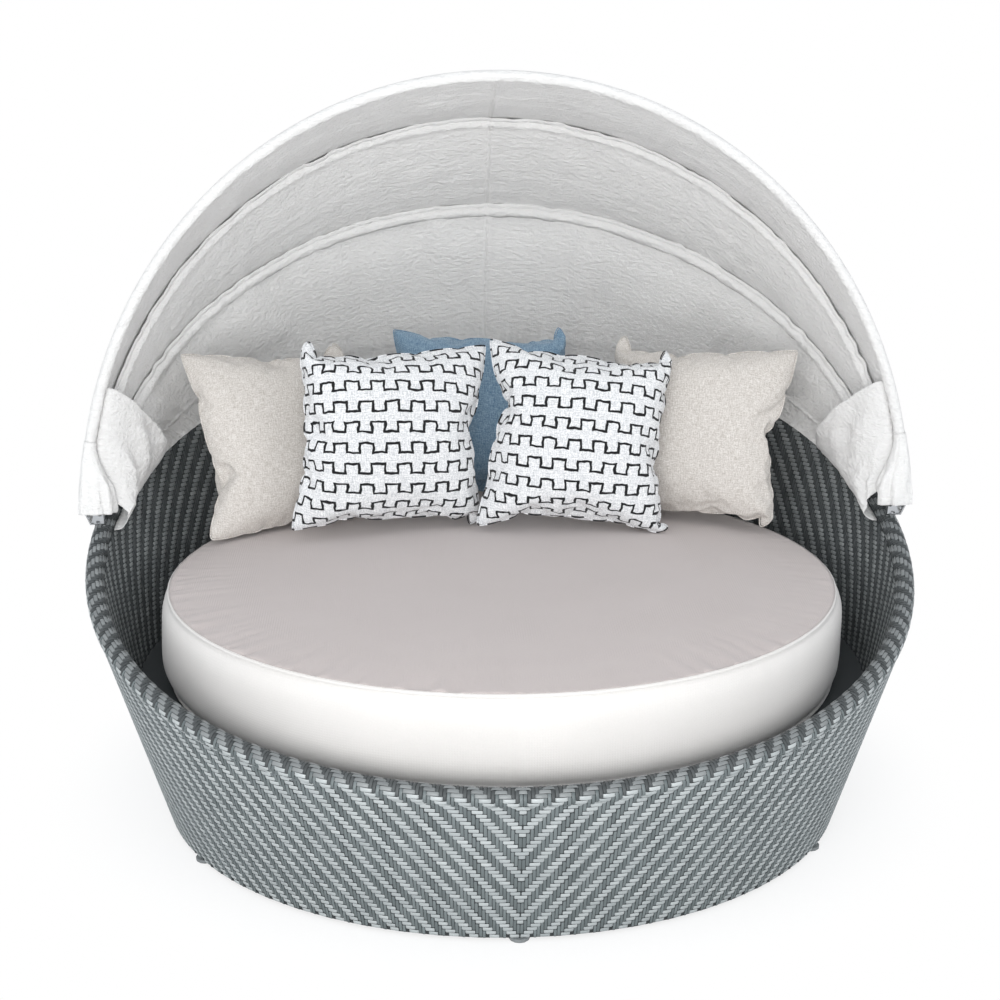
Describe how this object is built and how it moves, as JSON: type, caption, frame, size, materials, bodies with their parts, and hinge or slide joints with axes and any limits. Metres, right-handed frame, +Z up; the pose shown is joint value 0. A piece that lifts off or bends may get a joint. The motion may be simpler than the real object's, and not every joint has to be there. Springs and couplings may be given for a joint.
{
  "type": "outdoor daybed",
  "caption": "Round outdoor daybed: flared woven tub, low in front and high behind, thick round cushion, loose pillows and a cloth canopy on hinged bows that folds back.",
  "frame": {"origin": "on the floor under the middle of the whole outline", "axes": "+Z up, -Y towards the low front of the tub, +X to the right seen from the front"},
  "size_m": [1.8458, 1.8388, 1.5554],
  "materials": {
    "woven_strap": "satin flat strap",
    "strap_binding": "satin flat strap",
    "frame_coat": "grey powder coat on tube",
    "deck_mesh": "woven strap panel",
    "polished_steel": "polished",
    "bow_tube": "satin tube",
    "nylon": "matte",
    "canopy_cloth": "off-white outdoor cloth",
    "seat_cloth": "warm greige outdoor cloth",
    "linen_cloth": "beige linen weave",
    "pattern_cloth": "white with dark stepped lines",
    "blue_cloth": "dusty blue weave"
  },
  "bodies": {
    "root": {"base_hoop": "frame_coat", "deck_hoop": "frame_coat", "rim_hoop": "frame_coat", "upright_1": "frame_coat", "upright_2": "frame_coat", "upright_3": "frame_coat", "upright_4": "frame_coat", "upright_5": "frame_coat", "upright_6": "frame_coat", "upright_7": "frame_coat", "upright_8": "frame_coat", "upright_9": "frame_coat", "upright_10": "frame_coat", "upright_11": "frame_coat", "upright_12": "frame_coat", "deck_bearer_1": "frame_coat", "deck_bearer_2": "frame_coat", "deck_bearer_3": "frame_coat", "deck_bearer_4": "frame_coat", "floor_glide_1": "nylon", "floor_glide_2": "nylon", "floor_glide_3": "nylon", "floor_glide_4": "nylon", "floor_glide_5": "nylon", "floor_glide_6": "nylon", "outer_weave": "woven_strap", "inner_weave": "woven_strap", "rim_binding": "strap_binding", "deck_panel": "deck_mesh", "hinge_bracket_right": "polished_steel", "pivot_bolt_right": "polished_steel", "lock_nut_right": "polished_steel", "lug_spacer_right_outer": "nylon", "lug_spacer_right_inner": "nylon", "bracket_screw_right_front": "polished_steel", "bracket_screw_right_rear": "polished_steel", "side_flap_right": "canopy_cloth", "hinge_bracket_left": "polished_steel", "pivot_bolt_left": "polished_steel", "lock_nut_left": "polished_steel", "lug_spacer_left_outer": "nylon", "lug_spacer_left_inner": "nylon", "bracket_screw_left_front": "polished_steel", "bracket_screw_left_rear": "polished_steel", "side_flap_left": "canopy_cloth"},
    "rear_bow": {"rear_bow": "bow_tube", "canopy_rear_skirt": "canopy_cloth"},
    "middle_bow": {"middle_bow": "bow_tube", "canopy_middle_panel": "canopy_cloth"},
    "front_bow": {"front_bow": "bow_tube", "canopy_front_panel": "canopy_cloth"},
    "cushions": {"seat_cushion": "seat_cloth", "pillow_beige_left": "linen_cloth", "pillow_beige_right": "linen_cloth", "pillow_blue": "blue_cloth", "pillow_pattern_left": "pattern_cloth", "pillow_pattern_right": "pattern_cloth"}
  },
  "joints": [
    {"name": "rear_bow_fold", "type": "hinge", "parent": "root", "child": "rear_bow", "pos_m": [0, 0.05755, 0.61255], "axis": [-1, 0, 0], "range_deg": [0, 20.5], "deforming": ["canopy_rear_skirt"]},
    {"name": "middle_bow_fold", "type": "hinge", "parent": "rear_bow", "child": "middle_bow", "pos_m": [0, 0.05755, 0.61255], "axis": [-1, 0, 0], "range_deg": [0, 20.5], "deforming": ["canopy_middle_panel"]},
    {"name": "front_bow_fold", "type": "hinge", "parent": "middle_bow", "child": "front_bow", "pos_m": [0, 0.05755, 0.61255], "axis": [-1, 0, 0], "range_deg": [0, 20.5], "deforming": ["canopy_front_panel", "side_flap_right", "side_flap_left"]},
    {"name": "cushion_lift", "type": "slide", "parent": "root", "child": "cushions", "axis": [0, 0, 1], "range_m": [0, 0.1]}
  ],
  "couplings": [
    {"joint": "middle_bow_fold", "follows": "rear_bow_fold", "ratio": 1},
    {"joint": "front_bow_fold", "follows": "rear_bow_fold", "ratio": 1}
  ]
}
